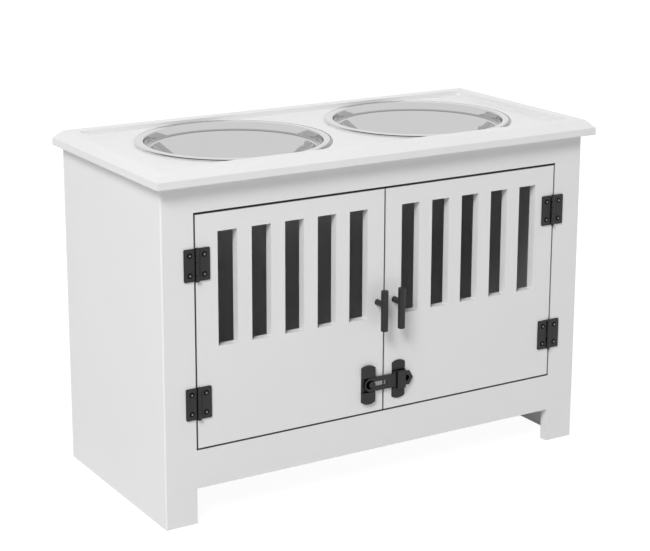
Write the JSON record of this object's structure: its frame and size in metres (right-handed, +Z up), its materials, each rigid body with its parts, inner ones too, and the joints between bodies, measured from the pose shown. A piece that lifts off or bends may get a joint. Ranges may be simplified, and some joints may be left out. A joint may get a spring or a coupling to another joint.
{
  "type": "elevated dog feeder with storage",
  "caption": "Raised feeding stand with a storage cupboard behind slotted hinged doors, and a recessed, bevelled top that carries lift-out steel bowls.",
  "frame": {"origin": "on the floor under the middle of the whole object, handles included", "axes": "+X along the row of bowls to the right of someone facing the doors, +Y from the doors to the back, +Z up"},
  "size_m": [0.65, 0.313, 0.45],
  "materials": {
    "white_paint": "smooth satin white paint on board",
    "inner_board": "grey board inside the cupboard",
    "dowel_wood": "plain beech dowel",
    "hinge_black": "satin black coated steel",
    "latch_black": "satin black coated steel, lightly brushed",
    "zinc_bolt": "zinc plated steel",
    "bowl_steel": "spun stainless steel, polished rim and satin inside"
  },
  "bodies": {
    "case": {"top_panel": "white_paint", "top_frame_front": "white_paint", "top_frame_back": "white_paint", "top_frame_left": "white_paint", "top_frame_right": "white_paint", "side_panel_left": "white_paint", "side_panel_right": "white_paint", "stile_left": "white_paint", "stile_right": "white_paint", "top_rail": "white_paint", "bottom_rail": "white_paint", "back_panel": "inner_board", "floor_panel": "inner_board", "top_cleat_left": "inner_board", "top_cleat_right": "inner_board", "floor_cleat_left": "inner_board", "floor_cleat_right": "inner_board", "door_stop": "inner_board", "rail_dowels": "dowel_wood", "hinge_case_leaf_left_top": "hinge_black", "hinge_case_leaf_left_bottom": "hinge_black", "hinge_case_leaf_right_top": "hinge_black", "hinge_case_leaf_right_bottom": "hinge_black", "hinge_pin_left_top": "hinge_black", "hinge_pin_left_bottom": "hinge_black", "hinge_pin_right_top": "hinge_black", "hinge_pin_right_bottom": "hinge_black", "hinge_screws_case": "hinge_black"},
    "door_left": {"door_left": "white_paint", "hinge_door_leaf_left_top": "hinge_black", "hinge_door_leaf_left_bottom": "hinge_black", "hinge_screws_door_left": "hinge_black", "handle_bar_left": "hinge_black", "handle_post_left": "hinge_black", "handle_screw_left": "zinc_bolt", "latch_keeper": "latch_black", "latch_stud": "latch_black", "latch_screws_left": "latch_black"},
    "door_right": {"door_right": "white_paint", "hinge_door_leaf_right_top": "hinge_black", "hinge_door_leaf_right_bottom": "hinge_black", "hinge_screws_door_right": "hinge_black", "handle_bar_right": "hinge_black", "handle_post_right": "hinge_black", "handle_screw_right": "zinc_bolt", "latch_guide": "latch_black", "latch_screws_right": "latch_black"},
    "latch_strap": {"latch_strap": "latch_black"},
    "bowl_left": {"bowl_left": "bowl_steel"},
    "bowl_right": {"bowl_right": "bowl_steel"}
  },
  "joints": [
    {"name": "door_right_hinge", "type": "hinge", "parent": "case", "child": "door_right", "pos_m": [0.2674, -0.137, 0.24], "axis": [0, 0, 1], "range_deg": [0, 165]},
    {"name": "door_left_hinge", "type": "hinge", "parent": "case", "child": "door_left", "pos_m": [-0.2674, -0.137, 0.24], "axis": [0, 0, -1], "range_deg": [0, 165]},
    {"name": "latch_slide", "type": "slide", "parent": "door_right", "child": "latch_strap", "axis": [1, 0, 0], "range_m": [-0.019, 0.004]},
    {"name": "bowl_left_lift", "type": "slide", "parent": "case", "child": "bowl_left", "axis": [0, 0, 1], "range_m": [0, 0.08]},
    {"name": "bowl_right_lift", "type": "slide", "parent": "case", "child": "bowl_right", "axis": [0, 0, 1], "range_m": [0, 0.08]}
  ],
  "couplings": [
    {"joint": "door_left_hinge", "follows": "door_right_hinge", "ratio": 1}
  ]
}
